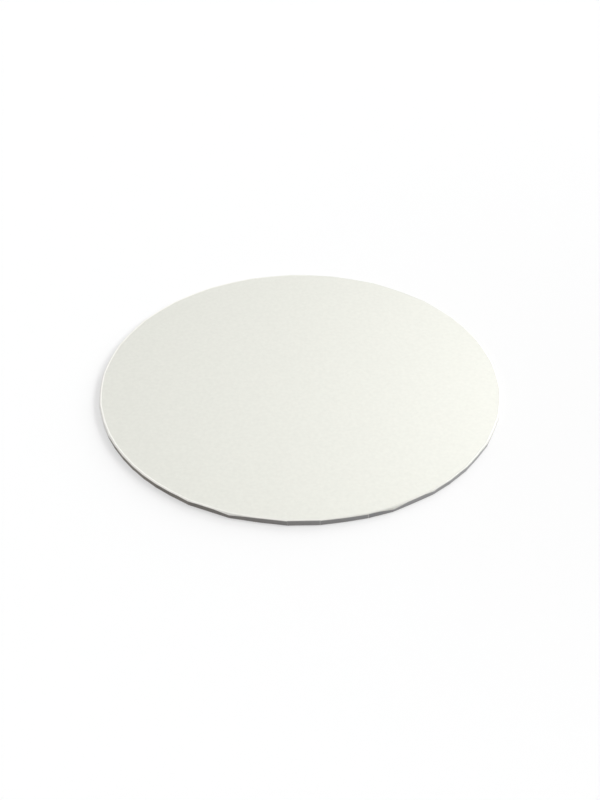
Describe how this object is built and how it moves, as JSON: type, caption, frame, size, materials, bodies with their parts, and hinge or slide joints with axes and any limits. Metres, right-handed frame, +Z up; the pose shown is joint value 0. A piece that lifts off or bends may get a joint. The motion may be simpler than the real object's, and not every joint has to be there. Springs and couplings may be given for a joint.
{
  "type": "cake board",
  "caption": "Round flat cake board: a pulp board disc wrapped in a pale satin covering sheet with a turned, pleated rim and a paper backing.",
  "frame": {"origin": "centre of the underside, on the surface that the board lies on", "axes": "+Z up, out of the face that carries the cake; -Y towards the side that the picture sees as the front; +X to its right"},
  "size_m": [0.2032, 0.2036, 0.003],
  "materials": {
    "pulp_board": "matte grey pulp board",
    "cover_sheet": "satin, fine grained, warm off-white with a pearl sheen",
    "backing_sheet": "matte uncoated paper"
  },
  "bodies": {
    "root": {"board_core": "pulp_board", "cover_paper": "cover_sheet", "backing_paper": "backing_sheet"}
  },
  "joints": []
}
